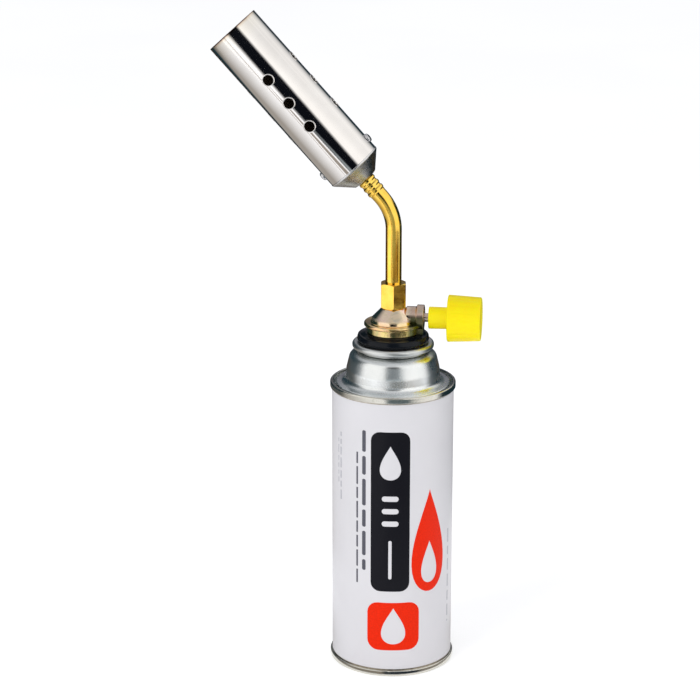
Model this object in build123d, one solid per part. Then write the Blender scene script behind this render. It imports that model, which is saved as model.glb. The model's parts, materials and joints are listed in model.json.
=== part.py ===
from build123d import *
import math
import os

# A hand-held gas torch clipped on a straight-sided gas cartridge.
# Millimetres. +Z is up the cartridge's axis, the origin is the middle of its foot,
# +X points along the valve spindle to the knob, and the burner leans over to -X.

# ---- driving dimensions -----------------------------------------------------------
# cartridge
CAN_R = 32.5             # outside of the can's wall
CAN_WALL = 0.25
CAN_HEIGHT = 157.5       # over both seams
SEAM_R = 33.5            # outside of the double seams
SEAM_IN_R = 31.9         # inside of the double seams
SEAM_H = 3.2
SEAM_OVERLAP = 1.2       # wall held between the folds of a seam
SHEET = 0.3              # end, shoulder and cup sheet
BASE_RISE = 11.0         # middle of the concave base above the foot
COUNTERSINK_Z = 154.4    # bottom of the channel inside the top seam
LEDGE_R = 30.3
LEDGE_Z = 157.0
DOME_R = 25.1            # shoulder dome at its foot
DOME_FOOT_Z = 157.7
NECK_R = 18.9
NECK_FOOT_Z = 174.7
CURL_R = 20.7            # rolled edge that the valve cup sits on
CURL_Z = 178.0
COLLAR_R = 21.7          # rolled rim of the locating collar
COLLAR_TOP = 179.2
COLLAR_H = 3.4
COLLAR_SHEET = 0.35
LIP_R = 14.6             # inner edge of the collar's lip
NOTCH_R = 17.3           # bottom of the notches in that lip
NOTCH_ANGLE = 36.0
BAYONET_TURN = 40.0      # from locked to free
CUP_R = 17.6             # outside of the valve cup's wall
CUP_FLOOR = 172.5
PEDESTAL_R = 6.3
PEDESTAL_TOP = 177.1
STEM_R = 1.95            # cartridge valve's stem
STEM_TOP = 180.4
STEM_BORE_R = 0.9
HOUSING_R = 4.9
VAPOUR_TUBE_R = 2.6

# torch head
RUNNING = 0.05           # radial clearance of parts that turn or slide in each other
HEAD_BASE = 179.3        # underside of the black mounting ring
RING_R = 19.2
DRUM_R = 14.0
DRUM_BASE = 184.3
PLATE_R = 15.5
PLATE_BASE = 188.0
PLATE_TOP = 190.1
BAND_R = 11.4
BAND_TOP = 192.0
CONE_TOP_R = 5.9
CONE_TOP = 197.8
SPIGOT_R = 12.0
SPIGOT_BASE = 179.8
NIPPLE_R = 5.35          # thread that the tube nut screws on
NIPPLE_TOP = 205.5
NUT_FLATS = 13.0
NUT_TOP = 211.2
NUT_TURN = 7.0           # a corner of the nut points this far from -Y towards +X
LUG_R = 16.9             # bayonet lugs under the collar's lip
LUG_THICKNESS = 1.2
LUG_ANGLE = 30.0
PLATE_BORE_R = 5.6
PLATE_SCREW_R = 1.5
PLATE_SCREW_HEAD_R = 2.7
PLATE_SCREW_HEAD_H = 1.3
PLATE_SCREW_CIRCLE = 10.2
SOCKET_R = 5.5
SOCKET_TOP = 184.9
SOCKET_BORE_R = 0.8
STEM_RING_Z = 178.9
STEM_RING_SECTION = 0.6  # half the thickness of the inlet's O-ring
FILTER_R = 3.4
FILTER_H = 1.6
INLET_PASSAGE_X = -3.2
PASSAGE_R = 1.0
OUTLET_R = 1.5

# valve spindle, lengths along +X from the cartridge's axis
SPINDLE_Z = 192.5
SEAT_X = -1.0
BOSS_R = 5.8
BOSS_START = 7.2         # clear of the tube nut
BOSS_ROOT_R = 5.1
FLANGE_R = 6.8
FLANGE_X = 12.4
BOSS_END = 16.4
THREAD_R = 2.6
THREAD_X = 2.9
CHAMBER_R = 2.3
GLAND_X = 9.7
GLAND_R = 4.0
SHAFT_R = 2.3
RING_GROOVE_X = 12.0
SPINDLE_RING_SECTION = 0.45
FLATTED_R = 2.0          # spindle's end with a flat, in the knob
FLATTED_END = 34.0
FLAT_AT = 1.4            # flat's distance from the axis
ORIFICE_R = 0.6
WEB_START = 6.0
WEB_HALF_WIDTH = 4.2
HUB_R = 5.85
HUB_X = 18.9
GRIP_X = 29.0
GRIP_END = 46.6
GRIP_R = 12.5            # at the hub
GRIP_END_R = 11.6        # at the outer end
FLUTES = 18
FLUTE_R = 1.1
FLUTE_OUT = 0.75         # centre of a flute beyond the grip's surface
KNOB_SCREW_R = 0.9
KNOB_RECESS_R = 4.4      # pocket for the screw's head, closed by a plug
KNOB_FLOOR = 2.2         # thickness under the screw's head
KNOB_PLUG_H = 1.8

# burner tube and barrel, lengths along the barrel's axis from the bend's corner
TUBE_R = 4.25
TUBE_BORE = 3.0
TUBE_FOOT = 203.2
CORNER_Z = 249.8
LEAN = 42.1              # barrel's axis from vertical
BEND_R = 26.0
RIDGES_START = 12.6
RIDGE_PITCH = 3.3
RIDGE_COUNT = 3
RIDGE_OUT = 0.55         # crests beyond the tube
TUBE_END = 17.5
HOLDER_R = 4.5
JET_SEAT = 34.0
JET_R = 2.2
MIXER_R = 6.6
MIXER_WALL = 0.8
MIXER_END = 58.0
HEAD_R = 10.6            # flame holder
HEAD_PORT_R = 0.9
CAP_START = 22.3
CAP_SMALL_R = 6.6
BARREL_START = 31.7
BARREL_END = 125.8
BARREL_R = 15.15
BARREL_WALL = 0.8
CAP_SKIRT_END = 42.0
HOLE_R = 2.9
HOLE_FROM_MOUTH = 31.3
HOLE_PITCH = 15.8
HOLES_IN_ROW = 3
SCREW_AXIAL = 37.8
SCREW_HEAD_R = 2.45
SCREW_HEAD_H = 1.5
SCREW_SHANK_R = 1.25

# ---- sizes that follow ------------------------------------------------------------
TOP_SEAM = CAN_HEIGHT - SEAM_H
CAN_IN_R = CAN_R - CAN_WALL
STEM_FOOT = PEDESTAL_TOP - 4.0
HOUSING_TOP = PEDESTAL_TOP - SHEET - 0.8
HOUSING_FLOOR = HOUSING_TOP - 12.5
LUG_BASE = PEDESTAL_TOP + 0.2
SOCKET_BASE = PEDESTAL_TOP + 0.3
BORE_R = BARREL_R - BARREL_WALL
AT_SPINDLE = Pos(0, 0, SPINDLE_Z) * Rot(0, 90, 0)
AT_BURNER = Pos(0, 0, CORNER_Z) * Rot(0, -LEAN, 0)


# ---- helpers ----------------------------------------------------------------------
def turned(*corners):
    """A body turned about Z. A corner of its outline is (radius, height[, rounding])."""
    points = [(c[0], 0, c[1]) for c in corners]
    rounding = [c[2] if len(c) > 2 else 0 for c in corners]
    if any(rounding):
        outline = FilletPolyline(*points, radius=rounding, close=True)
    else:
        outline = Polyline(*points, close=True)
    return revolve(make_face(outline), Axis.Z)


def pressed(sheet, *corners):
    """A pressing turned about Z: corners (radius, height[, rounding]) along its mid-line.

    The sheet's ends reach half its thickness past the first and last corner.
    """
    points = [(c[0], 0, c[1]) for c in corners]
    rounding = [c[2] if len(c) > 2 else 0 for c in corners[1:-1]]
    line = FilletPolyline(*points, radius=rounding)
    outline = line.offset_2d(sheet / 2, kind=Kind.INTERSECTION, side=Side.BOTH)
    return revolve(make_face(outline), Axis.Z)


def rod(radius, low, high):
    """A plain cylinder about Z from one height to another."""
    return Pos(0, 0, low) * extrude(Circle(radius), high - low)


def pipe(outer, inner, low, high):
    """A plain tube about Z."""
    return rod(outer, low, high) - rod(inner, low, high)


def cone(low_r, high_r, low, high):
    """A frustum about Z."""
    on_axis = (Align.CENTER, Align.CENTER, Align.MIN)
    return Pos(0, 0, low) * Cone(low_r, high_r, high - low, align=on_axis)


def o_ring(section_r, mean_r, height):
    """A rubber ring about Z."""
    return Pos(0, 0, height) * Torus(mean_r, section_r)


def around(shape, count, start=0.0):
    """Copies of a shape at equal angles about Z."""
    return [Rot(0, 0, start + 360 / count * i) * shape for i in range(count)]


def pie(radius, angle, low, high):
    """A wedge of a disc about Z, centred on +X."""
    half = math.radians(angle / 2)
    far = radius / math.cos(half)
    side = far * math.sin(half)
    wedge = make_face(Polyline((0, 0), (radius, -side), (radius, side), close=True))
    return Pos(0, 0, low) * extrude(wedge, high - low)


# ---- gas cartridge ------------------------------------------------------------------
def can_body():
    """Rolled and welded wall, its edges held in the seams."""
    return pipe(CAN_R, CAN_IN_R, SEAM_OVERLAP, CAN_HEIGHT - SEAM_OVERLAP)


def can_base():
    """Concave end with the lower double seam that the can stands on."""
    skin = FilletPolyline(
        (0, 0, BASE_RISE), (26.5, 0, 7.2), (CAN_IN_R, 0, 5.4), (CAN_IN_R, 0, SEAM_OVERLAP),
        (CAN_R, 0, SEAM_OVERLAP), (CAN_R, 0, SEAM_H), (SEAM_R, 0, SEAM_H), (SEAM_R, 0, 0),
        (SEAM_IN_R, 0, 0), (SEAM_IN_R, 0, 4.9), (26.4, 0, 6.8), (0, 0, BASE_RISE - SHEET),
        radius=[20, 0.6, 0, 0, 0, 0.5, 0.5, 0.3, 0.4, 20],
    )
    close = Line((0, 0, BASE_RISE - SHEET), (0, 0, BASE_RISE))
    return revolve(make_face(skin + close), Axis.Z)


def can_shoulder():
    """Upper double seam, countersink, ledge, dome, neck and the curl round the opening."""
    held = CAN_HEIGHT - SEAM_OVERLAP
    seam = turned(
        (SEAM_IN_R, CAN_HEIGHT, 0.3), (SEAM_IN_R, TOP_SEAM), (CAN_IN_R, TOP_SEAM),
        (CAN_IN_R, held), (CAN_R, held), (CAN_R, TOP_SEAM), (SEAM_R, TOP_SEAM, 0.5),
        (SEAM_R, CAN_HEIGHT, 0.7),
    )
    wall = SEAM_IN_R + SHEET / 2
    skin = pressed(
        SHEET,
        (wall, CAN_HEIGHT - 1.0), (wall, COUNTERSINK_Z, 0.6),
        (LEDGE_R + 0.3, COUNTERSINK_Z, 0.5), (LEDGE_R, LEDGE_Z, 0.6),
        (DOME_R - 0.15, DOME_FOOT_Z, 3.2), (DOME_R - 0.4, 164.5, 8.0), (22.9, 172.2, 4.2),
        (NECK_R, NECK_FOOT_Z, 0.5), (NECK_R - 0.05, CURL_Z, 0.5), (CURL_R, CURL_Z, 0.6),
        (CURL_R + 0.05, CURL_Z - 1.3),
    )
    return seam + skin


def cup_gasket():
    """Rubber washer between the curl and the valve cup."""
    low = CURL_Z + SHEET / 2
    return pipe(CURL_R - 0.2, NECK_R - 0.6, low, low + 0.35)


def valve_cup():
    """Cup crimped on the curl, with a channel for the bayonet and a pedestal for the stem."""
    rim_z = COLLAR_TOP - COLLAR_SHEET - SHEET / 2
    wall = CUP_R - SHEET / 2
    return pressed(
        SHEET,
        (20.0, rim_z), (wall, rim_z, 0.4), (wall, CUP_FLOOR, 1.2),
        (8.0, CUP_FLOOR, 1.0), (PEDESTAL_R, PEDESTAL_TOP - SHEET / 2, 0.5),
        (STEM_R + 0.5, PEDESTAL_TOP - SHEET / 2),
    )


def locating_collar():
    """Rolled collar with three notches in its lip, where the bayonet's lugs go in."""
    half = COLLAR_SHEET / 2
    top = COLLAR_TOP - half
    low = COLLAR_TOP - COLLAR_H + half
    rim = COLLAR_R - half
    collar = pressed(
        COLLAR_SHEET,
        (19.6, low), (rim, low, 1.3), (rim, top, 1.3), (LIP_R + half, top),
    )
    notch = pie(NOTCH_R, NOTCH_ANGLE, top - 1, top + 1) & rod(NOTCH_R, top - 1, top + 1)
    return collar - around(notch, 3)


def can_valve_housing():
    """Plastic housing under the cup's pedestal, with the spring's seat in its floor."""
    top = HOUSING_TOP
    foot = top - 14.0
    nose = top - 18.0
    return turned(
        (HOUSING_R, top, 0.4), (HOUSING_R, top - 4.0, 0.5), (HOUSING_R - 1, top - 6.0, 0.5),
        (HOUSING_R - 1, foot, 0.8), (1.6, foot, 0.3), (1.6, nose, 0.2), (0.8, nose),
        (0.8, HOUSING_FLOOR), (3.0, HOUSING_FLOOR, 0.3), (3.0, top),
    )


def stem_gasket():
    """Rubber washer clamped between the pedestal and the housing."""
    return pipe(HOUSING_R, STEM_R + RUNNING, HOUSING_TOP, PEDESTAL_TOP - SHEET)


def can_valve_stem():
    """Hollow stem with a flange that closes under the washer when the torch is off."""
    foot = STEM_FOOT
    stem = turned(
        (STEM_R, STEM_TOP, 0.3), (STEM_R, foot + 1.6), (2.9, foot + 1.6, 0.2),
        (2.9, foot, 0.2), (1.5, foot), (1.5, foot - 2.0, 0.3), (0, foot - 2.0), (0, STEM_TOP),
    )
    bore = rod(STEM_BORE_R, foot + 1.75, STEM_TOP)
    port = Pos(0, 0, foot + 2.3) * Rot(90, 0, 0) * rod(0.4, -STEM_R - 0.5, STEM_R + 0.5)
    return stem - bore - port


def can_valve_spring():
    """Return spring between the housing's floor and the stem's flange."""
    wire = 0.35
    gap = 0.05
    turns = 5
    pitch = (STEM_FOOT - HOUSING_FLOOR - 2 * (wire + gap)) / turns
    helix = Helix(pitch=pitch, height=pitch * turns, radius=2.2)
    path = Pos(0, 0, HOUSING_FLOOR + wire + gap) * helix
    start = Plane(origin=path @ 0, z_dir=path % 0)
    return sweep(start * Circle(wire), path=path, is_frenet=True)


def vapour_tube():
    """Plastic pipe that takes gas from the upper side of a cartridge lying down."""
    low = HOUSING_TOP - 17.8
    path = FilletPolyline((0, 0, low), (0, 0, low - 12), (22, 0, low - 22), radius=8)
    mouth = Plane(origin=(0, 0, low), z_dir=(0, 0, -1))
    walls = sweep(mouth * (Circle(VAPOUR_TUBE_R) - Circle(1.9)), path=path)
    socket = pipe(VAPOUR_TUBE_R, 1.6, low, low + 3.0)
    return walls + socket


# ---- torch head: mounting -------------------------------------------------------------
def mount_ring():
    """Black ring clamped between the valve body and the bayonet plate."""
    return turned(
        (SPIGOT_R, DRUM_BASE), (DRUM_R + 0.8, DRUM_BASE, 0.5), (RING_R - 1.8, 183.4, 0.8),
        (RING_R - 0.5, 183.2, 0.9), (RING_R, 180.9, 1.2), (RING_R - 0.7, HEAD_BASE, 0.6),
        (LIP_R - 0.3, HEAD_BASE), (LIP_R - 0.3, SPIGOT_BASE), (SPIGOT_R, SPIGOT_BASE),
    )


def bayonet_plate():
    """Steel plate whose three lugs hook under the collar's lip."""
    hub_r = LIP_R - 0.35
    plate = rod(hub_r, LUG_BASE, SPIGOT_BASE) - rod(PLATE_BORE_R, LUG_BASE, SPIGOT_BASE)
    lug = pie(LUG_R, LUG_ANGLE, LUG_BASE, LUG_BASE + LUG_THICKNESS)
    lug = lug & pipe(LUG_R, hub_r - 1, LUG_BASE, LUG_BASE + LUG_THICKNESS)
    plate = plate + around(lug, 3, start=-BAYONET_TURN)
    head_end = LUG_BASE + 0.1 + PLATE_SCREW_HEAD_H
    head = Pos(PLATE_SCREW_CIRCLE, 0, 0) * rod(PLATE_SCREW_HEAD_R, LUG_BASE, head_end)
    hole = Pos(PLATE_SCREW_CIRCLE, 0, 0) * rod(PLATE_SCREW_R, LUG_BASE, SPIGOT_BASE)
    return plate - around(head + hole, 3)


def bayonet_screws():
    """Three cheese-head screws, heads sunk in the bayonet plate."""
    head_base = LUG_BASE + 0.1
    head_end = head_base + PLATE_SCREW_HEAD_H
    head = rod(PLATE_SCREW_HEAD_R - 0.1, head_base, head_end)
    shank = rod(PLATE_SCREW_R, head_end, SPIGOT_BASE + 3.2)
    slot = Pos(0, 0, head_base + 0.25) * Box(6, 0.7, 0.6)
    screw = Pos(PLATE_SCREW_CIRCLE, 0, 0) * (head + shank - slot)
    return around(screw, 3)


def inlet_socket():
    """Brass socket that presses the cartridge's stem down and takes its gas."""
    bore = STEM_R + RUNNING
    groove_r = bore + 2 * STEM_RING_SECTION
    groove_top = STEM_RING_Z + STEM_RING_SECTION
    groove_foot = STEM_RING_Z - STEM_RING_SECTION
    seat = STEM_TOP + RUNNING
    return turned(
        (SOCKET_R, SOCKET_BASE, 0.4), (SOCKET_R, SOCKET_TOP), (SOCKET_BORE_R, SOCKET_TOP),
        (SOCKET_BORE_R, seat), (bore, seat), (bore, groove_top), (groove_r, groove_top),
        (groove_r, groove_foot), (bore, groove_foot), (bore, SOCKET_BASE + 0.3),
        (bore + 0.3, SOCKET_BASE),
    )


def inlet_o_ring():
    """Seal between the socket and the cartridge's stem."""
    return o_ring(STEM_RING_SECTION - 0.01, STEM_R + STEM_RING_SECTION + RUNNING, STEM_RING_Z)


def inlet_filter():
    """Sintered disc above the socket."""
    return rod(FILTER_R, SOCKET_TOP, SOCKET_TOP + FILTER_H)


# ---- torch head: valve ------------------------------------------------------------------
def valve_body():
    """Turned body with a side boss for the spindle, drilled from inlet to outlet."""
    body = turned(
        (0, SPIGOT_BASE), (SPIGOT_R, SPIGOT_BASE), (SPIGOT_R, DRUM_BASE),
        (DRUM_R, DRUM_BASE, 0.4), (DRUM_R, PLATE_BASE, 0.5), (PLATE_R, PLATE_BASE, 0.5),
        (PLATE_R, PLATE_TOP, 0.9), (BAND_R + 0.5, PLATE_TOP - 0.3, 0.5),
        (BAND_R, BAND_TOP, 0.4), (CONE_TOP_R, CONE_TOP, 0.2), (NIPPLE_R, CONE_TOP),
        (NIPPLE_R, NIPPLE_TOP), (0, NIPPLE_TOP),
    )
    root = BOSS_START - 3.2
    boss = turned(
        (0, root), (BOSS_ROOT_R, root), (BOSS_ROOT_R, BOSS_START - 0.4, 0.3),
        (BOSS_R, BOSS_START, 0.3), (BOSS_R, FLANGE_X, 0.5), (FLANGE_R, FLANGE_X + 0.3, 0.3),
        (FLANGE_R, BOSS_END, 0.4), (0, BOSS_END),
    )
    web_height = SPINDLE_Z - DRUM_BASE
    web = Pos(WEB_START, 0, DRUM_BASE) * Box(
        BOSS_END - WEB_START - 0.2, 2 * WEB_HALF_WIDTH, web_height,
        align=(Align.MIN, Align.CENTER, Align.MIN),
    )
    body = body + AT_SPINDLE * boss + web
    socket_seat = rod(SOCKET_R, SPIGOT_BASE, SOCKET_TOP)
    filter_seat = rod(FILTER_R, SOCKET_TOP, SOCKET_TOP + FILTER_H)
    inlet = Pos(INLET_PASSAGE_X, 0, 0) * rod(PASSAGE_R, SOCKET_TOP + 1.0, SPINDLE_Z)
    inlet = inlet + Pos(INLET_PASSAGE_X, 0, SPINDLE_Z) * Sphere(PASSAGE_R)
    orifice = rod(ORIFICE_R, INLET_PASSAGE_X, SEAT_X)
    seat = cone(ORIFICE_R, CHAMBER_R, SEAT_X, SEAT_X + CHAMBER_R - ORIFICE_R)
    chamber = rod(CHAMBER_R, SEAT_X + CHAMBER_R - ORIFICE_R, THREAD_X)
    thread = rod(THREAD_R, THREAD_X, GLAND_X)
    gland = rod(GLAND_R, GLAND_X, BOSS_END)
    outlet = rod(OUTLET_R, SPINDLE_Z, NIPPLE_TOP)
    tube_socket = rod(TUBE_R, TUBE_FOOT, NIPPLE_TOP)
    mouth_cone = cone(TUBE_R, NIPPLE_R - 0.3, NIPPLE_TOP - 0.8, NIPPLE_TOP)
    cuts = [socket_seat, filter_seat, inlet, outlet, tube_socket, mouth_cone]
    cuts += [AT_SPINDLE * cut for cut in (orifice, seat, chamber, thread, gland)]
    screw_hole = rod(PLATE_SCREW_R, SPIGOT_BASE, SPIGOT_BASE + 3.6)
    screw_hole = Pos(PLATE_SCREW_CIRCLE, 0, 0) * screw_hole
    return body - cuts - around(screw_hole, 3)


def gland_bush():
    """Brass bush screwed into the boss, with a screwdriver slot across it."""
    face = BOSS_END - 0.1
    bush = pipe(GLAND_R, SHAFT_R + RUNNING, GLAND_X, face)
    slot = Pos(0, 0, face - 0.3) * Box(10, 0.9, 1.0)
    return AT_SPINDLE * (bush - slot)


def flatted(radius, low, high):
    """A rod about Z with one flat, as on the spindle's end."""
    flat = Pos(-radius - FLAT_AT, 0, (low + high) / 2) * Box(2 * radius, 6, high - low + 2)
    return rod(radius, low, high) - flat


def spindle():
    """Needle, thread, seal groove and a flatted end for the knob."""
    groove = SPINDLE_RING_SECTION + 0.05
    groove_r = SHAFT_R - 2 * SPINDLE_RING_SECTION
    thread_r = THREAD_R - RUNNING
    tip = SEAT_X + 0.1
    step = THREAD_X + 0.1
    turning = turned(
        (0, tip), (ORIFICE_R - RUNNING, tip), (1.8, tip + 2.5), (1.8, step),
        (thread_r, step, 0.2), (thread_r, 8.0, 0.2), (SHAFT_R, 8.0),
        (SHAFT_R, RING_GROOVE_X - groove), (groove_r, RING_GROOVE_X - groove),
        (groove_r, RING_GROOVE_X + groove), (SHAFT_R, RING_GROOVE_X + groove),
        (SHAFT_R, HUB_X + 1.0), (0, HUB_X + 1.0),
    )
    end = flatted(FLATTED_R, HUB_X + 1.0, FLATTED_END)
    tapping = rod(KNOB_SCREW_R, FLATTED_END - 7.0, FLATTED_END)
    return AT_SPINDLE * (turning + end - tapping)


def spindle_o_ring():
    """Seal in the spindle's groove, inside the gland bush."""
    mean = SHAFT_R - SPINDLE_RING_SECTION + 0.03
    return AT_SPINDLE * o_ring(SPINDLE_RING_SECTION - 0.02, mean, RING_GROOVE_X)


def knob():
    """Moulded knob: a long hub and a fluted grip that tapers to its rounded end."""
    hub = turned(
        (0, HUB_X), (HUB_R, HUB_X, 0.5), (HUB_R - 0.1, GRIP_X + 1.0), (0, GRIP_X + 1.0)
    )
    grip = turned(
        (0, GRIP_X), (GRIP_R, GRIP_X, 0.8), (GRIP_END_R, GRIP_END, 1.2), (0, GRIP_END)
    )
    length = GRIP_END - GRIP_X
    lean = math.degrees(math.atan2(GRIP_R - GRIP_END_R, length))
    flute = Rot(0, -lean, 0) * rod(FLUTE_R, -1, length + 1)
    grip = grip - around(Pos(GRIP_R + FLUTE_OUT, 0, GRIP_X) * flute, FLUTES)
    shaft = rod(SHAFT_R + 0.02, HUB_X, HUB_X + 1.0)
    shaft = shaft + flatted(FLATTED_R, HUB_X + 1.0, FLATTED_END + 0.1)
    recess = rod(KNOB_RECESS_R, FLATTED_END + KNOB_FLOOR, GRIP_END)
    clearance = rod(KNOB_SCREW_R + 0.2, FLATTED_END, FLATTED_END + KNOB_FLOOR)
    return AT_SPINDLE * (hub + grip - shaft - recess - clearance)


def cross_recess(length):
    """A cross-shaped driver recess, 1.4 deep, about Z."""
    return Box(length, 0.6, 1.4) + Box(0.6, length, 1.4)


def knob_screw():
    """Pan-head screw in the knob's pocket, into the spindle."""
    foot = FLATTED_END - 6.0
    seat = FLATTED_END + KNOB_FLOOR
    top = seat + 1.5
    screw = turned(
        (0, foot), (KNOB_SCREW_R, foot), (KNOB_SCREW_R, seat), (2.4, seat), (2.4, top, 0.8),
        (0, top),
    )
    return AT_SPINDLE * (screw - Pos(0, 0, top - 0.1) * cross_recess(2.6))


def knob_plug():
    """Snap-in plug that closes the pocket, a hair below the knob's end."""
    face = GRIP_END - 0.15
    return AT_SPINDLE * turned(
        (0, face - KNOB_PLUG_H), (KNOB_RECESS_R, face - KNOB_PLUG_H), (KNOB_RECESS_R, face, 0.3),
        (0, face),
    )


# ---- burner tube ---------------------------------------------------------------------------
def tube_nut():
    """Hexagon nut, chamfered at both ends, that squeezes the ferrule on the tube."""
    height = NUT_TOP - CONE_TOP
    hexagon = RegularPolygon(NUT_FLATS / 2, 6, major_radius=False)
    corner_r = NUT_FLATS / math.sqrt(3)
    prism = Pos(0, 0, CONE_TOP) * extrude(Rot(0, 0, NUT_TURN - 90) * hexagon, height)
    chamfered = turned(
        (0, CONE_TOP), (corner_r - 1.0, CONE_TOP), (corner_r + 0.3, CONE_TOP + 0.75),
        (corner_r + 0.3, NUT_TOP - 0.75), (corner_r - 1.0, NUT_TOP), (0, NUT_TOP),
    )
    inside = turned(
        (0, CONE_TOP), (NIPPLE_R, CONE_TOP), (NIPPLE_R, 207.6), (TUBE_R, 208.7),
        (TUBE_R, NUT_TOP), (0, NUT_TOP),
    )
    return (prism & chamfered) - inside


def ferrule():
    """Brass olive pinched between the nipple's mouth and the nut."""
    return turned(
        (TUBE_R, NIPPLE_TOP - 0.75), (NIPPLE_R - 0.35, NIPPLE_TOP), (NIPPLE_R - 0.05, 206.2),
        (NIPPLE_R - 0.05, 207.5), (TUBE_R, 208.5),
    )


def burner_tube():
    """Brass tube, straight up from the nut and bent over to the barrel."""
    lean = math.radians(LEAN)
    end = (-TUBE_END * math.sin(lean), 0, CORNER_Z + TUBE_END * math.cos(lean))
    path = FilletPolyline((0, 0, TUBE_FOOT), (0, 0, CORNER_Z), end, radius=BEND_R)
    foot = Plane(origin=(0, 0, TUBE_FOOT), z_dir=(0, 0, 1))
    return sweep(foot * (Circle(TUBE_R) - Circle(TUBE_BORE)), path=path)


def jet_holder():
    """Ribbed brass fitting on the tube's end that carries the cap and the jet."""
    ridge_r = TUBE_R + RIDGE_OUT
    valley_r = TUBE_R + 0.1
    outline = [(TUBE_R, RIDGES_START), (valley_r, RIDGES_START)]
    for i in range(RIDGE_COUNT):
        crest = RIDGES_START + 1.0 + RIDGE_PITCH * i
        outline += [
            (valley_r, crest - 0.4), (ridge_r, crest + 0.3, 0.35), (ridge_r, crest + 1.3, 0.35),
            (valley_r, crest + 2.0),
        ]
    outline += [
        (valley_r, CAP_START), (HOLDER_R, CAP_START), (HOLDER_R, JET_SEAT), (JET_R, JET_SEAT),
        (JET_R, JET_SEAT - 5.0), (1.4, JET_SEAT - 5.0), (1.4, TUBE_END), (TUBE_R, TUBE_END),
    ]
    return AT_BURNER * turned(*outline)


def cap_nut():
    """Thin nut inside the cap that clamps it to the holder."""
    hexagon = RegularPolygon(6.0, 6, major_radius=False)
    nut = Pos(0, 0, CAP_START + 1.4) * extrude(hexagon - Circle(HOLDER_R), 2.6)
    return AT_BURNER * nut


def gas_jet():
    """Jet screwed into the holder, with a fine hole in its nose."""
    jet = turned(
        (JET_R, JET_SEAT - 4.6), (JET_R, JET_SEAT), (3.0, JET_SEAT), (3.0, JET_SEAT + 2.0, 0.3),
        (1.8, JET_SEAT + 4.0, 0.3), (0.25, JET_SEAT + 4.0), (0.25, JET_SEAT + 2.6),
        (1.1, JET_SEAT + 2.0), (1.1, JET_SEAT - 4.6),
    )
    return AT_BURNER * jet


def mixing_tube():
    """Tube round the jet: air comes in through its windows and mixes with the gas."""
    tube = turned(
        (HOLDER_R, JET_SEAT - 3.6), (MIXER_R, JET_SEAT - 3.6, 0.4), (MIXER_R, MIXER_END),
        (MIXER_R - MIXER_WALL, MIXER_END), (MIXER_R - MIXER_WALL, JET_SEAT - 0.4),
        (HOLDER_R, JET_SEAT - 0.4),
    )
    window = Pos(MIXER_R, 0, JET_SEAT + 4.5) * Box(4, 4.2, 6.5)
    return AT_BURNER * (tube - around(window, 4, start=45))


def flame_holder():
    """Perforated head on the mixing tube's end that keeps the flame lit."""
    sleeve_r = MIXER_R + MIXER_WALL
    head = turned(
        (MIXER_R, MIXER_END - 5.0), (sleeve_r, MIXER_END - 5.0, 0.3),
        (sleeve_r, MIXER_END - 1.2), (HEAD_R, MIXER_END - 1.2, 0.4), (HEAD_R, MIXER_END, 0.4),
        (0, MIXER_END + 1.6), (0, MIXER_END + 0.8), (MIXER_R, MIXER_END),
    )
    port = rod(HEAD_PORT_R, MIXER_END - 2, MIXER_END + 3)
    centre = rod(HEAD_PORT_R + 0.4, MIXER_END - 2, MIXER_END + 3)
    ports = around(Pos(4.3, 0, 0) * port, 6) + around(Pos(8.9, 0, 0) * port, 12)
    return AT_BURNER * (head - ports - centre)


def burner_cap():
    """Conical steel cap with a skirt that slips into the barrel."""
    sheet = 0.8
    half = sheet / 2
    cap = pressed(
        sheet,
        (HOLDER_R + half, CAP_START + half), (CAP_SMALL_R, CAP_START + half, 1.2),
        (BARREL_R - half, BARREL_START - 0.9, 0.5), (BARREL_R - half, BARREL_START - half, 0.3),
        (BORE_R - half, BARREL_START - half, 0.3), (BORE_R - half, CAP_SKIRT_END),
    )
    screw = Rot(0, 90, 0) * rod(SCREW_SHANK_R, BORE_R - 2, BORE_R + 2)
    return AT_BURNER * (cap - around(Pos(0, 0, SCREW_AXIAL) * screw, 2))


def burner_barrel():
    """Stainless barrel with four rows of air holes, open at its mouth."""
    barrel = pipe(BARREL_R, BORE_R, BARREL_START, BARREL_END)
    barrel = chamfer(barrel.edges().group_by(Axis.Z)[-1], 0.2)
    drill = Rot(0, 90, 0) * rod(HOLE_R, BORE_R - 2, BARREL_R + 2)
    countersink = Rot(0, 90, 0) * cone(HOLE_R, HOLE_R + 0.5, BARREL_R - 0.15, BARREL_R + 0.35)
    for i in range(HOLES_IN_ROW):
        at = Pos(0, 0, BARREL_END - HOLE_FROM_MOUTH - HOLE_PITCH * i)
        barrel = barrel - around(at * (drill + countersink), 4)
    screw = Rot(0, 90, 0) * rod(SCREW_SHANK_R, BORE_R - 2, BARREL_R + 2)
    return AT_BURNER * (barrel - around(Pos(0, 0, SCREW_AXIAL) * screw, 2))


def barrel_screws():
    """Two pan-head screws that hold the barrel on the cap's skirt."""
    foot = BORE_R - 2.0
    top = BARREL_R + SCREW_HEAD_H
    screw = turned(
        (0, foot), (SCREW_SHANK_R, foot, 0.3), (SCREW_SHANK_R, BARREL_R), (SCREW_HEAD_R, BARREL_R),
        (SCREW_HEAD_R, top, 1.0), (0, top),
    )
    screw = screw - Pos(0, 0, top - 0.1) * cross_recess(2.8)
    at_side = Pos(0, 0, SCREW_AXIAL) * Rot(0, 90, 0)
    return [AT_BURNER * copy for copy in around(at_side * screw, 2)]


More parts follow.
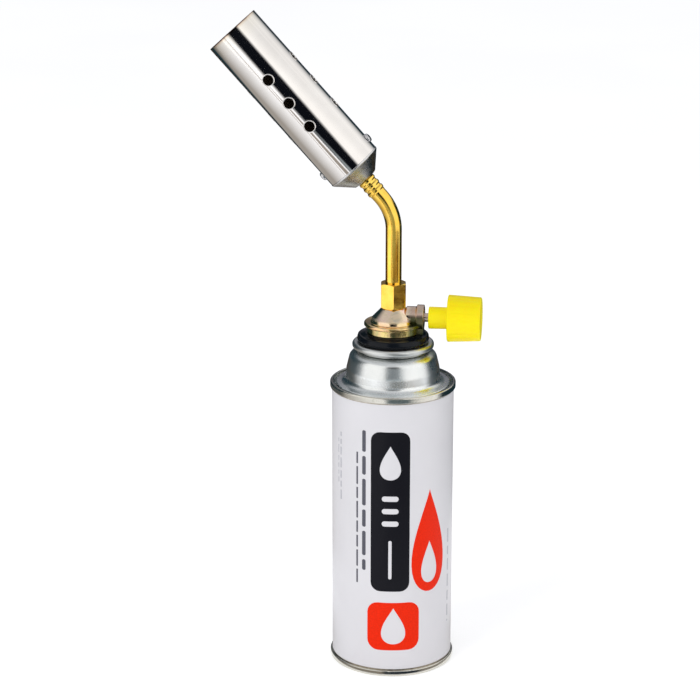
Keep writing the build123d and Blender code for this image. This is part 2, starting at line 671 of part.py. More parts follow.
# ---- write ------------------------------------------------------------------------------------
SUB_PARTS = [
    can_body, can_base, can_shoulder, cup_gasket, valve_cup, locating_collar,
    can_valve_housing, stem_gasket, can_valve_stem, can_valve_spring, vapour_tube,
    mount_ring, bayonet_plate, bayonet_screws, inlet_socket, inlet_o_ring, inlet_filter,
    valve_body, gland_bush, spindle, spindle_o_ring, knob, knob_screw, knob_plug,
    tube_nut, ferrule, burner_tube, jet_holder, cap_nut, gas_jet, mixing_tube,
    flame_holder, burner_cap, burner_barrel, barrel_screws,
]


def main():
    os.makedirs("parts", exist_ok=True)
    for make in SUB_PARTS:
        shape = make()
        if isinstance(shape, list):
            shape = Compound(children=shape)
        export_step(shape, f"parts/{make.__name__}.step")


main()
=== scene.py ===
import bmesh
import bpy
import json
import math
import random
from mathutils import Matrix, Vector


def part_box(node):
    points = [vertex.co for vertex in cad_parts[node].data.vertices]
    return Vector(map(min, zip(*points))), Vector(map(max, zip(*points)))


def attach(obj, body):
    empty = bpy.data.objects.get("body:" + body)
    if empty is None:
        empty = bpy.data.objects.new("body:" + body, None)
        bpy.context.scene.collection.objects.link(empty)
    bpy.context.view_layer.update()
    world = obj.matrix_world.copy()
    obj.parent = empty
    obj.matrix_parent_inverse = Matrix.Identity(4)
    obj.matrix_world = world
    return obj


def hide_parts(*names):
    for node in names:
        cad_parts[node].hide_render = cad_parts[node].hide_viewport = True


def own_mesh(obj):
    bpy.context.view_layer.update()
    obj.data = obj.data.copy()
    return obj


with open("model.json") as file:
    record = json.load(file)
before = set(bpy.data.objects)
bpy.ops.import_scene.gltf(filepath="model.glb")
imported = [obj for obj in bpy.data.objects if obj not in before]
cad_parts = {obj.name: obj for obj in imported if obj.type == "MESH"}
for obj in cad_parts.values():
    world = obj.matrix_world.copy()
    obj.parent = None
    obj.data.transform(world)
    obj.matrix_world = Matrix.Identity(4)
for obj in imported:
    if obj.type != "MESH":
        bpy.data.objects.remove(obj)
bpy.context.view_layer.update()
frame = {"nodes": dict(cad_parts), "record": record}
random.seed(7)

MM = 0.001
NODES = frame["nodes"]

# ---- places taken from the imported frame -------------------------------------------
knob_low, knob_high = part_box("knob")
spring_low, spring_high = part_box("can_valve_spring")

CAN_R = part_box("can_body")[1].x
BARREL_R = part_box("burner_barrel")[1].y
SPINDLE_Z = (knob_low.z + knob_high.z) / 2

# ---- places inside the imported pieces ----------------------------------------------
LEAN = math.radians(42.1)           # burner's lean from upright
CORNER_Z = 249.8 * MM               # where the burner's axis meets the can's
BARREL_START = 31.7 * MM            # along the burner's axis, from that corner
BARREL_END = 125.8 * MM
HOLE_R = 2.9 * MM
HOLE_ROWS = 4
HOLES_PER_ROW = 3
FIRST_HOLE = 31.3 * MM              # from the mouth to the nearest hole
HOLE_PITCH = 15.8 * MM
HOLES = [BARREL_END - FIRST_HOLE - HOLE_PITCH * i for i in range(HOLES_PER_ROW)]

LABEL_LOW = (3.8 * MM, 4.1 * MM)    # the lacquer's lower edge fades over this height
LABEL_HIGH = (153.5 * MM, 153.8 * MM)
SEAM_BEAD_R = (31.5 * MM, 32.2 * MM)
SEAM_GLOSS_R = (31.2 * MM, 32.0 * MM)
# heights of the neck's recess under the collar, where shade is painted on the tin
NECK_RECESS = (172.8 * MM, 175.2 * MM)
INNER_WALL_DEPTH = (0.7 * MM, 0.4 * MM)   # below the barrel's outer surface
HEAT_LENGTH = 12 * MM               # of the barrel's mouth that took on colour

HEAD_LOW = 184 * MM                 # drum's foot, where the chromate's colours start
HEAD_HIGH = 198 * MM
BAND_TOP = 192 * MM                 # foot of the head's cone
BOSS_START = (8 * MM, 10 * MM)      # along X, where the side boss leaves the cone

VIEW_AZ = math.radians(7)           # the photograph's side, right of square on

# burner's own frame: +Z along the barrel, +X square to it in the plane of the bend
AT_BURNER = Matrix.Translation((0, 0, CORNER_Z)) @ Matrix.Rotation(-LEAN, 4, "Y")


# ---- node materials ---------------------------------------------------------------
class Shader:
    """One Principled material with short helpers for its nodes."""

    def __init__(self, name):
        self.mat = bpy.data.materials.new(name)
        self.mat.use_nodes = True
        self.tree = self.mat.node_tree
        self.tree.nodes.clear()
        self.out = self.tree.nodes.new("ShaderNodeOutputMaterial")
        self.bsdf = self.tree.nodes.new("ShaderNodeBsdfPrincipled")
        self.link(self.bsdf.outputs[0], self.out.inputs["Surface"])
        self.coords = self.tree.nodes.new("ShaderNodeTexCoord").outputs["Object"]

    def link(self, source, target):
        self.tree.links.new(source, target)

    def node(self, kind, **values):
        n = self.tree.nodes.new("ShaderNode" + kind)
        for key, value in values.items():
            setattr(n, key, value)
        return n

    def set(self, **values):
        """Values that are the same all over the surface, on the shader's own sockets."""
        for key, value in values.items():
            self.bsdf.inputs[key.replace("_", " ")].default_value = value

    def to(self, socket, source):
        self.link(source, self.bsdf.inputs[socket])

    def placed(self, scale=(1, 1, 1), turn=(0, 0, 0), move=(0, 0, 0), source=None):
        """Object coordinates turned, moved and stretched."""
        n = self.node("Mapping", vector_type="POINT")
        n.inputs["Scale"].default_value = scale
        n.inputs["Rotation"].default_value = turn
        n.inputs["Location"].default_value = move
        self.link(source or self.coords, n.inputs["Vector"])
        return n.outputs[0]

    def noise(self, scale, detail=3, vector=None, rough=0.5, distortion=0.0):
        n = self.node("TexNoise")
        n.inputs["Scale"].default_value = scale
        n.inputs["Detail"].default_value = detail
        n.inputs["Roughness"].default_value = rough
        n.inputs["Distortion"].default_value = distortion
        self.link(vector or self.coords, n.inputs["Vector"])
        return n.outputs["Fac"]

    def ramp(self, source, *stops):
        """Colour ramp; stops are (place, colour or grey value)."""
        n = self.node("ValToRGB")
        ramp = n.color_ramp
        while len(ramp.elements) < len(stops):
            ramp.elements.new(0.5)
        for element, (place, colour) in zip(ramp.elements, stops):
            element.position = place
            element.color = grey(colour) if isinstance(colour, (int, float)) else (*colour, 1)
        self.link(source, n.inputs[0])
        return n.outputs[0]

    def span(self, source, low, high, to_low, to_high):
        """Maps low..high to to_low..to_high, and holds the ends beyond it."""
        n = self.node("MapRange")
        values = {"From Min": low, "From Max": high, "To Min": to_low, "To Max": to_high}
        for key, value in values.items():
            n.inputs[key].default_value = value
        self.link(source, n.inputs["Value"])
        return n.outputs[0]

    def math(self, operation, a, b=0.0):
        n = self.node("Math", operation=operation)
        for i, value in enumerate((a, b)):
            if isinstance(value, (int, float)):
                n.inputs[i].default_value = value
            else:
                self.link(value, n.inputs[i])
        return n.outputs[0]

    def mix(self, factor, a, b):
        n = self.node("Mix", data_type="RGBA")
        for i, value in ((0, factor), (6, a), (7, b)):
            if isinstance(value, (int, float)):
                n.inputs[i].default_value = value
            elif isinstance(value, tuple):
                n.inputs[i].default_value = (*value, 1)
            else:
                self.link(value, n.inputs[i])
        return n.outputs[2]

    def axis(self, name, vector=None):
        n = self.node("SeparateXYZ")
        self.link(vector or self.coords, n.inputs[0])
        return n.outputs[name]

    def radius(self, vector=None):
        """Distance from the local Z axis."""
        n = self.node("VectorMath", operation="LENGTH")
        flat = self.placed(scale=(1, 1, 0), source=vector)
        self.link(flat, n.inputs[0])
        return n.outputs["Value"]

    def bump(self, source, strength, distance, before=None):
        n = self.node("Bump")
        n.inputs["Strength"].default_value = strength
        n.inputs["Distance"].default_value = distance
        self.link(source, n.inputs["Height"])
        if before is not None:
            self.link(before, n.inputs["Normal"])
        self.to("Normal", n.outputs[0])
        return n.outputs[0]

    def barrel_coords(self):
        """Coordinates with Z along the burner's axis."""
        moved = self.placed(move=(0, 0, -CORNER_Z))
        return self.placed(turn=(0, LEAN, 0), source=moved)


def grey(value):
    return (value, value, value, 1)


def turning_lines(s, vector, per_metre, strength, distance):
    """Fine rings round the local Z axis, as left by a lathe or a press tool."""
    n = s.node("TexNoise", noise_dimensions="1D")
    n.inputs["Scale"].default_value = per_metre
    n.inputs["Detail"].default_value = 2
    s.link(s.math("ADD", s.axis("Z", vector), s.radius(vector)), n.inputs["W"])
    return s.bump(n.outputs["Fac"], strength, distance)


def smudged(s, low, high, scale=90.0, vector=None):
    """Roughness that wanders between two values in soft patches."""
    cloud = s.noise(scale, 4, vector, 0.6)
    s.to("Roughness", s.span(cloud, 0.3, 0.7, low, high))


def lacquer_white():
    """White lacquer that leaves a bare, streaked margin at both seams."""
    s = Shader("can_lacquer")
    cloud = s.noise(35, 3)
    white = s.mix(s.span(cloud, 0.35, 0.65, 0, 1), (0.70, 0.69, 0.715), (0.725, 0.715, 0.74))
    z = s.axis("Z")
    low = s.span(z, *LABEL_LOW, 1, 0)
    high = s.span(z, *LABEL_HIGH, 0, 1)
    margin = s.math("MAXIMUM", low, high)
    streaks = s.noise(600, 3, s.placed(scale=(1, 1, 0.08)), 0.6)
    bare = s.ramp(streaks, (0.3, (0.36, 0.31, 0.24)), (0.7, (0.60, 0.55, 0.47)))
    s.to("Base Color", s.mix(margin, white, bare))
    s.to("Metallic", margin)
    smudged(s, 0.30, 0.40, 60)
    s.set(Specular_IOR_Level=0.35, Coat_Weight=0.08, Coat_Roughness=0.12)
    peel = s.noise(900, 2)
    s.bump(peel, 0.06, 0.0001)
    return s.mat


def ink(name, colour):
    s = Shader(name)
    grain = s.noise(1500, 3)
    darker = tuple(c * 0.86 for c in colour)
    s.to("Base Color", s.mix(s.span(grain, 0.35, 0.65, 0, 1), darker, colour))
    smudged(s, 0.28, 0.38, 70)
    s.set(Specular_IOR_Level=0.10)
    s.bump(s.noise(900, 2), 0.06, 0.0001)
    return s.mat


def tinplate():
    """Bright tin, warmer and glossier on the seam's bead, with painted shade darkening the recess under
    the collar.
    """
    s = Shader("tinplate_bright")
    cloud = s.noise(45, 4, None, 0.6)
    base = s.mix(s.span(cloud, 0.35, 0.65, 0, 1), (0.76, 0.79, 0.80), (0.84, 0.86, 0.865))
    r = s.radius()
    tint = s.math("MULTIPLY", s.span(r, *SEAM_BEAD_R, 0, 1), 0.6)
    base = s.mix(tint, base, (0.56, 0.52, 0.42))
    # painted shade: the neck's recess under the collar is darkened towards near black
    neck_shade = s.span(s.axis("Z"), *NECK_RECESS, 0, 0.7)
    s.to("Base Color", s.mix(neck_shade, base, (0.16, 0.17, 0.15)))
    s.set(Metallic=1.0)
    rough = s.span(s.noise(70, 4, None, 0.6), 0.3, 0.7, 0.23, 0.31)
    s.to("Roughness", s.math("MULTIPLY", rough, s.span(r, *SEAM_GLOSS_R, 1, 0.5)))
    fine = turning_lines(s, None, 5200, 0.12, 0.00006)
    s.bump(s.noise(160, 3), 0.04, 0.0004, fine)
    return s.mat


def collar_steel():
    s = Shader("collar_satin")
    cloud = s.noise(60, 4, None, 0.6)
    s.to("Base Color", s.mix(s.span(cloud, 0.35, 0.65, 0, 1), (0.60, 0.62, 0.62), (0.72, 0.73, 0.73)))
    s.set(Metallic=1.0)
    smudged(s, 0.28, 0.38, 90)
    turning_lines(s, None, 6000, 0.25, 0.00006)
    return s.mat


def stainless():
    """Mirror-polished tube: faint polishing lines, heat colours at the mouth, near black and rougher on
    its inner wall.
    """
    s = Shader("stainless_mirror")
    local = s.barrel_coords()
    z = s.axis("Z", local)
    cloud = s.noise(40, 4, local, 0.6)
    steel = s.mix(s.span(cloud, 0.35, 0.65, 0, 1), (0.80, 0.775, 0.755), (0.86, 0.84, 0.825))
    wander = s.math("MULTIPLY", s.math("SUBTRACT", cloud, 0.5), 0.002)
    near = s.span(s.math("ADD", z, wander), BARREL_END - HEAT_LENGTH, BARREL_END, 0, 1)
    heat = s.ramp(near, (0.0, (0.84, 0.82, 0.80)), (0.84, (0.83, 0.80, 0.75)),
                  (0.94, (0.76, 0.67, 0.56)), (0.98, (0.36, 0.24, 0.18)), (1.0, (0.10, 0.07, 0.06)))
    outside = s.mix(s.span(near, 0.0, 0.5, 0, 1), steel, heat)
    # the tube's inner wall is made near black and rougher, fading in from the outer surface
    inner_wall = s.span(s.radius(local), BARREL_R - INNER_WALL_DEPTH[0], BARREL_R - INNER_WALL_DEPTH[1], 1, 0)
    inner_dark = s.mix(s.noise(240, 4, local, 0.6), (0.035, 0.026, 0.022), (0.12, 0.085, 0.06))
    s.to("Base Color", s.mix(inner_wall, outside, inner_dark))
    s.set(Metallic=1.0, Anisotropic=0.2)
    polish = s.span(cloud, 0.3, 0.7, 0.045, 0.085)
    s.to("Roughness", s.math("ADD", polish, s.math("MULTIPLY", inner_wall, 0.4)))
    lines = s.noise(500, 3, s.placed(scale=(1, 1, 0.012), source=local), 0.6)
    fine = s.bump(lines, 0.05, 0.00005)
    s.bump(s.noise(120, 2, local), 0.035, 0.0005, fine)
    return s.mat


def cap_steel():
    s = Shader("cap_satin")
    local = s.barrel_coords()
    cloud = s.noise(130, 4, local, 0.65)
    s.to("Base Color", s.ramp(cloud, (0.28, (0.22, 0.20, 0.11)), (0.48, (0.34, 0.33, 0.30)),
                              (0.72, (0.50, 0.50, 0.52))))
    s.set(Metallic=1.0)
    smudged(s, 0.20, 0.34, 160, local)
    turning_lines(s, local, 4200, 0.3, 0.00008)
    return s.mat


def scorched():
    s = Shader("scorched_steel")
    cloud = s.noise(220, 5, None, 0.65)
    s.to("Base Color", s.ramp(cloud, (0.25, (0.10, 0.09, 0.10)), (0.5, (0.25, 0.20, 0.17)),
                              (0.75, (0.38, 0.30, 0.30))))
    s.set(Metallic=1.0)
    smudged(s, 0.35, 0.6, 200)
    s.bump(s.noise(1200, 3), 0.15, 0.0001)
    return s.mat


def brass(name="brass_lacquered", light=(1.0, 0.69, 0.14), deep=(0.97, 0.57, 0.07), rough=0.07):
    s = Shader(name)
    cloud = s.noise(110, 4, None, 0.6)
    s.to("Base Color", s.mix(s.span(cloud, 0.35, 0.68, 0, 1), light, deep))
    s.set(Metallic=1.0)
    smudged(s, rough, rough + 0.10, 150)
    fine = s.noise(2600, 2, s.placed(scale=(1, 1, 0.05)))
    s.bump(fine, 0.10, 0.00005)
    return s.mat


def chromate():
    """Yellow chromate over zinc: clouds of gold, pink, olive and green, and each step its own.

    The side boss is painted lit on its upper half, pinkish, and painted in shade on its lower half,
    near-black olive, and it and the cone's foot are less glossy.
    """
    s = Shader("yellow_chromate")
    warped = s.noise(120, 3, None, 0.55, 0.9)
    colour = s.ramp(warped, (0.28, (0.26, 0.30, 0.11)), (0.40, (0.72, 0.54, 0.16)),
                    (0.50, (0.90, 0.66, 0.36)), (0.60, (0.86, 0.50, 0.34)),
                    (0.70, (0.46, 0.50, 0.30)), (0.82, (0.78, 0.60, 0.20)))
    z = s.axis("Z")
    x = s.axis("X")
    step = s.span(z, HEAD_LOW, HEAD_HIGH, 0, 1)
    film = s.ramp(step, (0.0, (0.92, 0.80, 0.34)), (0.26, (0.86, 0.74, 0.30)), (0.32, (1.0, 0.62, 0.26)),
                  (0.44, (1.0, 0.74, 0.42)), (0.60, (0.96, 0.82, 0.76)), (1.0, (0.92, 0.78, 0.74)))
    thick = s.mix(0.55, colour, film)
    outer = s.span(x, *BOSS_START, 0, 0.95)
    # painted light and shade: above the spindle's axis the boss is painted pinkish as lit, below it
    # near-black olive as shade
    low = s.span(z, SPINDLE_Z + 1.2 * MM, SPINDLE_Z + 2.8 * MM, 1, 0)
    patch = s.span(warped, 0.45, 0.62, 0, 0.35)
    boss_lit_top = s.mix(patch, (0.56, 0.45, 0.40), colour)
    boss_shaded_bottom = s.mix(s.math("MULTIPLY", patch, 0.3), (0.09, 0.11, 0.05), colour)
    s.to("Base Color", s.mix(outer, thick, s.mix(low, boss_lit_top, boss_shaded_bottom)))
    s.set(Metallic=1.0)
    rough = s.span(s.noise(260, 4, None, 0.6), 0.35, 0.65, 0.07, 0.16)
    satin = s.span(x, *BOSS_START, 0, 0.17)
    foot = s.math("MULTIPLY", s.span(z, BAND_TOP - 0.8 * MM, BAND_TOP - 0.4 * MM, 0, 0.25),
                  s.span(z, BAND_TOP + 0.4 * MM, BAND_TOP + 1.0 * MM, 1, 0))
    s.to("Roughness", s.math("ADD", rough, s.math("ADD", satin, foot)))
    turning_lines(s, None, 4200, 0.10, 0.00006)
    return s.mat


def glossy_black():
    s = Shader("black_gloss")
    grain = s.noise(700, 3)
    s.to("Base Color", s.mix(grain, (0.002, 0.003, 0.005), (0.006, 0.008, 0.012)))
    smudged(s, 0.08, 0.16, 160)
    s.set(Specular_IOR_Level=0.18)
    s.bump(s.noise(500, 2), 0.04, 0.0002)
    return s.mat


def yellow_plastic():
    s = Shader("yellow_moulding")
    cloud = s.noise(120, 3)
    s.to("Base Color", s.mix(s.span(cloud, 0.3, 0.7, 0, 1), (1.0, 0.79, 0.0), (1.0, 0.83, 0.0)))
    smudged(s, 0.34, 0.46, 220)
    s.set(Subsurface_Weight=0.35, Subsurface_Scale=0.004)
    s.bsdf.inputs["Subsurface Radius"].default_value = (1.0, 0.6, 0.1)
    s.set(Specular_IOR_Level=0.22)
    s.bump(s.noise(2200, 3), 0.10, 0.00008)
    return s.mat


def plated(name="zinc_plated", light=(0.72, 0.72, 0.74), deep=(0.52, 0.52, 0.54), rough=0.2):
    s = Shader(name)
    cloud = s.noise(300, 4, None, 0.6)
    s.to("Base Color", s.mix(s.span(cloud, 0.35, 0.65, 0, 1), deep, light))
    s.set(Metallic=1.0)
    smudged(s, rough, rough + 0.15, 300)
    s.bump(s.noise(2400, 2), 0.10, 0.00005)
    return s.mat


def moulded(name, light, deep, rough=0.45):
    s = Shader(name)
    cloud = s.noise(400, 3)
    s.to("Base Color", s.mix(cloud, deep, light))
    smudged(s, rough, rough + 0.15, 300)
    s.bump(s.noise(3000, 3), 0.12, 0.00008)
    return s.mat


MATERIALS = {
    "printed_can": lacquer_white(),
    "tinplate": tinplate(),
    "collar_steel": collar_steel(),
    "black_rubber": moulded("rubber_matt", (0.035, 0.035, 0.036), (0.018, 0.018, 0.02), 0.6),
    "valve_plastic": moulded("valve_plastic_white", (0.82, 0.82, 0.78), (0.70, 0.70, 0.66)),
    "spring_steel": plated("spring_wire", (0.60, 0.60, 0.61), (0.40, 0.40, 0.42), 0.25),
    "ring_plastic": glossy_black(),
    "plated_steel": plated(),
    "brass": brass(),
    "turned_brass": brass("brass_turned", (0.90, 0.66, 0.26), (0.70, 0.46, 0.14), 0.22),
    "sintered_bronze": moulded("bronze_sintered", (0.46, 0.31, 0.15), (0.22, 0.13, 0.06), 0.6),
    "chromated_metal": chromate(),
    "spindle_steel": plated("spindle_plated", (0.80, 0.66, 0.56), (0.56, 0.44, 0.36), 0.18),
    "yellow_plastic": yellow_plastic(),
    "polished_stainless": stainless(),
    "cap_steel": cap_steel(),
    "burner_steel": scorched(),
}
# what is laid on the can's surface: inks, and the bare metal and bead of its welded seam
INKS = {
    "charcoal": ink("ink_charcoal", (0.008, 0.008, 0.012)),
    "flame": ink("ink_flame", (0.90, 0.022, 0.0)),
    "slate": ink("ink_slate", (0.11, 0.11, 0.135)),
    "pale": ink("ink_pale", (0.52, 0.52, 0.56)),
    "bare": plated("bare_margin", (0.66, 0.65, 0.62), (0.50, 0.49, 0.46), 0.3),
    "weld": plated("weld_bead", (0.34, 0.33, 0.33), (0.16, 0.15, 0.16), 0.35),
}

SHARP = math.radians(34)            # edges sharper than this stay hard
for subpart in frame["record"]["subparts"]:
    node = NODES[subpart["node"]]
    node.data.materials.clear()
    node.data.materials.append(MATERIALS[subpart["material_slot"]])
    node.data.shade_smooth()
    node.data.set_sharp_from_angle(angle=SHARP)


# ---- mesh helpers -----------------------------------------------------------------
def add_piece(name, mesh, material, body, replaced=()):
    """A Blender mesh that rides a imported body, and stands for CAD nodes where it replaces some."""
    piece = bpy.data.objects.new(name, mesh)
    bpy.context.scene.collection.objects.link(piece)
    mesh.materials.clear()
    mesh.materials.append(material)
    mesh.shade_smooth()
    mesh.set_sharp_from_angle(angle=SHARP)
    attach(piece, body)
    if replaced:
        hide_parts(*replaced)
    return piece


def rounded(corners, steps=6):
    """Closed outline from (radius, height[, rounding]) corners in millimetres, rounded by arcs."""
    points = []
    count = len(corners)
    for i, corner in enumerate(corners):
        here = Vector(corner[:2])
        size = corner[2] if len(corner) > 2 else 0
        before = Vector(corners[i - 1][:2]) - here
        after = Vector(corners[(i + 1) % count][:2]) - here
        if not size:
            points.append(here)
            continue
        angle = before.angle(after)
        reach = min(size / math.tan(angle / 2), 0.49 * before.length, 0.49 * after.length)
        radius = reach * math.tan(angle / 2)
        middle = here + (before.normalized() + after.normalized()).normalized() * (
            radius / math.sin(angle / 2)
        )
        start = here + before.normalized() * reach - middle
        end = here + after.normalized() * reach - middle
        turn = math.atan2(start.x * end.y - start.y * end.x, start.dot(end))
        for k in range(steps + 1):
            a = turn * k / steps
            points.append(middle + Vector((
                start.x * math.cos(a) - start.y * math.sin(a),
                start.x * math.sin(a) + start.y * math.cos(a),
            )))
    return [(p.x * MM, p.y * MM) for p in points]


def to_mesh(bm, name):
    mesh = bpy.data.meshes.new(name)
    bm.to_mesh(mesh)
    bm.free()
    return mesh


def bridge(bm, rings, closed=True):
    """Joins each ring of points to the next, and the last to the first where it is closed."""
    pairs = list(zip(rings, rings[1:]))
    if closed:
        pairs.append((rings[-1], rings[0]))
    for a, b in pairs:
        for k in range(len(a)):
            m = (k + 1) % len(a)
            bm.faces.new((a[k], b[k], b[m], a[m]))


def lathe(name, outline, steps=240, shape=None, place=None):
    """Mesh turned about Z from a closed outline of (radius, height) in metres.

    shape(radius, height, angle) may move a point, for what isn't quite round.
    """
    bm = bmesh.new()
    rows = []
    for i in range(steps):
        angle = 2 * math.pi * i / steps
        row = []
        for r, z in outline:
            if shape:
                r, z = shape(r, z, angle)
            row.append(bm.verts.new((r * math.cos(angle), r * math.sin(angle), z)))
        rows.append(row)
    bridge(bm, rows)
    bmesh.ops.remove_doubles(bm, verts=bm.verts, dist=1e-7)
    bmesh.ops.dissolve_degenerate(bm, edges=bm.edges, dist=1e-8)
    bmesh.ops.recalc_face_normals(bm, faces=bm.faces)
    if place:
        bm.transform(place)
    return to_mesh(bm, name)


# ---- barrel's hole rims -----------------------------------------------------------
def hole_rims():
    """Rolled beads round the air holes, following the barrel's curve."""
    # the bead's section: outwards from the hole's edge, and up from the barrel's surface
    bead = [(-0.10, -0.6), (-0.10, 0.02), (0.0, 0.14), (0.13, 0.20), (0.26, 0.18),
            (0.38, 0.10), (0.46, -0.10), (0.24, -0.6)]
    bm = bmesh.new()
    steps = 64
    for row in range(HOLE_ROWS):
        for z in HOLES:
            rings = []
            for i in range(steps):
                turn = 2 * math.pi * i / steps
                ring = []
                for out, up in bead:
                    reach = HOLE_R + out * MM
                    angle = 2 * math.pi * row / HOLE_ROWS + reach * math.sin(turn) / BARREL_R
                    r = BARREL_R + up * MM
                    ring.append(bm.verts.new((
                        r * math.cos(angle), r * math.sin(angle), z + reach * math.cos(turn)
                    )))
                rings.append(ring)
            bridge(bm, rings)
    bmesh.ops.recalc_face_normals(bm, faces=bm.faces)
    bm.transform(AT_BURNER)
    return to_mesh(bm, "hole_rims")


add_piece("hole_rims", hole_rims(), MATERIALS["polished_stainless"], "torch_head")


# ---- hem round the cap's wide end -------------------------------------------------
hem_in = BARREL_R / MM - 0.7
hem_out = BARREL_R / MM + 0.12
hem_low = BARREL_START / MM - 0.95
hem_high = BARREL_START / MM + 0.02
hem = rounded([(hem_in, hem_low), (hem_out, hem_low, 0.3), (hem_out, hem_high, 0.3), (hem_in, hem_high)])
hem_steel = plated("hem_bright", (0.84, 0.84, 0.85), (0.66, 0.66, 0.67), 0.16)
add_piece("cap_hem", lathe("cap_hem", hem, 240, None, AT_BURNER), hem_steel, "torch_head")


def spring_coil():
    """Round wire wound in a helix of five turns."""
    wire = 0.35 * MM
    turns, steps, sides = 5, 48, 12
    coil_r = spring_high.x - wire
    rise = spring_high.z - spring_low.z - 2 * wire
    slope = rise / (2 * math.pi * turns)
    bm = bmesh.new()
    rings = []
    for i in range(turns * steps + 1):
        angle = 2 * math.pi * i / steps
        outward = Vector((math.cos(angle), math.sin(angle), 0))
        along = Vector((-coil_r * math.sin(angle), coil_r * math.cos(angle), slope)).normalized()
        across = along.cross(outward)
        centre = coil_r * outward + Vector((0, 0, spring_low.z + wire + slope * angle))
        ring = []
        for k in range(sides):
            turn = 2 * math.pi * k / sides
            around = math.cos(turn) * outward + math.sin(turn) * across
            ring.append(bm.verts.new(centre + wire * around))
        rings.append(ring)
    bridge(bm, rings, closed=False)
    bm.faces.new(rings[0])
    bm.faces.new(rings[-1])
    bmesh.ops.recalc_face_normals(bm, faces=bm.faces)
    return to_mesh(bm, "spring_coil")


coil = add_piece("spring_coil", spring_coil(), MATERIALS["spring_steel"], "cartridge",
                 ["can_valve_spring"])
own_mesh(coil)


# ---- knob -------------------------------------------------------------------------
# in millimetres along the spindle's axis and out from it
HUB_X, HUB_R = 18.9, 5.85
GRIP_X, GRIP_END = 29.0, 46.6
GRIP_R, GRIP_END_R = 12.5, 11.6
BORE_R = 2.36
POCKET_R, POCKET_DEPTH = 4.4, 2.2
FLUTES = 18
FLUTE_DEPTH = 0.14 * MM


def knob_outline():
    """The knob's outline along its axis, with points enough for the flutes to fade at both ends."""
    length = GRIP_END - GRIP_X
    side = [(GRIP_R + (GRIP_END_R - GRIP_R) * t, GRIP_X + length * t)
            for t in [0.08 + 0.04 * i for i in range(22)]]
    corners = [(BORE_R, HUB_X), (HUB_R, HUB_X, 0.5), (HUB_R - 0.1, GRIP_X, 0.6), (GRIP_R, GRIP_X, 0.9)]
    corners += side
    corners += [(GRIP_END_R, GRIP_END, 1.2), (POCKET_R, GRIP_END, 0.25)]
    corners += [(POCKET_R, GRIP_END - POCKET_DEPTH), (BORE_R, GRIP_END - POCKET_DEPTH)]
    return rounded(corners)


def fluted(r, x, angle):
    """Draws a point of the grip's side in, for shallow rounded flutes that fade at its ends."""
    along = (x / MM - GRIP_X) / (GRIP_END - GRIP_X)
    if r < 0.8 * GRIP_R * MM or not 0 < along < 1:
        return r, x
    fade = min(1, 5 * along, 5 * (1 - along))
    wave = (0.5 + 0.5 * math.cos(FLUTES * angle)) ** 3
    return r - FLUTE_DEPTH * fade * wave, x


AT_SPINDLE = Matrix.Translation((0, 0, SPINDLE_Z)) @ Matrix.Rotation(math.pi / 2, 4, "Y")
knob_mesh = lathe("knob_moulding", knob_outline(), 360, fluted, AT_SPINDLE)
add_piece("knob_moulding", knob_mesh, MATERIALS["yellow_plastic"], "knob", ["knob"])


# ---- printed label ----------------------------------------------------------------
INK_OUT = 0.05 * MM                 # above the can's surface
INK_IN = -0.06 * MM                 # below it


def bar(u0, v0, u1, v1, r):
    """Rounded bar's outline, in millimetres round the can (u, to the right) and up it (v)."""
    corners = [(u0, v0, r), (u1, v0, r), (u1, v1, r), (u0, v1, r)]
    return [(x / MM, y / MM) for x, y in rounded(corners, 5)]


def flame(u, v, width, height, steps=40):
    """Plain teardrop flame: round below, drawn up to a point."""
    points = []
    for i in range(steps):
        t = 2 * math.pi * i / steps
        up = (1 - math.cos(t)) / 2
        half = math.sin(t) * math.sin(t / 2) ** 1.35 * 0.77
        points.append((u + half * width * 0.85, v + (1 - up) * height))
    return points


def printed(name, ink_name, outlines, turned=0.0):
    """Flat outlines in (u, v) filled, holes left open, and wrapped round the can as thin ink.

    u runs round the can from the middle of the photographed side, and turned moves it on.
    """
    curve = bpy.data.curves.new(name, "CURVE")
    curve.dimensions = "2D"
    curve.fill_mode = "BOTH"
    curve.extrude = (INK_OUT - INK_IN) / 2
    for outline in outlines:
        line = curve.splines.new("POLY")
        line.points.add(len(outline) - 1)
        for p, (u, v) in zip(line.points, outline):
            p.co = ((u + turned) * MM, v * MM, 0, 1)
        line.use_cyclic_u = True
    flat = bpy.data.objects.new(name + "_flat", curve)
    bpy.context.scene.collection.objects.link(flat)
    bpy.context.view_layer.update()
    mesh = bpy.data.meshes.new_from_object(flat)
    bpy.data.objects.remove(flat)
    bpy.data.curves.remove(curve)
    bm = bmesh.new()
    bm.from_mesh(mesh)
    bmesh.ops.remove_doubles(bm, verts=bm.verts, dist=1e-7)
    us = [vert.co.x for vert in bm.verts]
    step = CAN_R * math.radians(2)
    cut = math.floor(min(us) / step) * step
    while cut < max(us):
        geometry = bm.verts[:] + bm.edges[:] + bm.faces[:]
        bmesh.ops.bisect_plane(bm, geom=geometry, plane_co=(cut, 0, 0), plane_no=(1, 0, 0))
        cut += step
    middle = CAN_R + (INK_OUT + INK_IN) / 2
    for vert in bm.verts:
        angle = VIEW_AZ + vert.co.x / CAN_R
        r = middle + vert.co.z
        vert.co = (r * math.sin(angle), -r * math.cos(angle), vert.co.y)
    bmesh.ops.recalc_face_normals(bm, faces=bm.faces)
    bm.to_mesh(mesh)
    bm.free()
    return add_piece(name, mesh, INKS[ink_name], "cartridge")


def dashes(u, thickness, v_start, v_end, low, high, gap):
    """A column of rounded dashes that stands for a line of small print, top to bottom."""
    out = []
    v = v_start
    while v > v_end:
        length = random.uniform(low, high)
        out.append(bar(u - thickness / 2, max(v - length, v_end), u + thickness / 2, v, thickness * 0.4))
        v -= length + gap
    return out


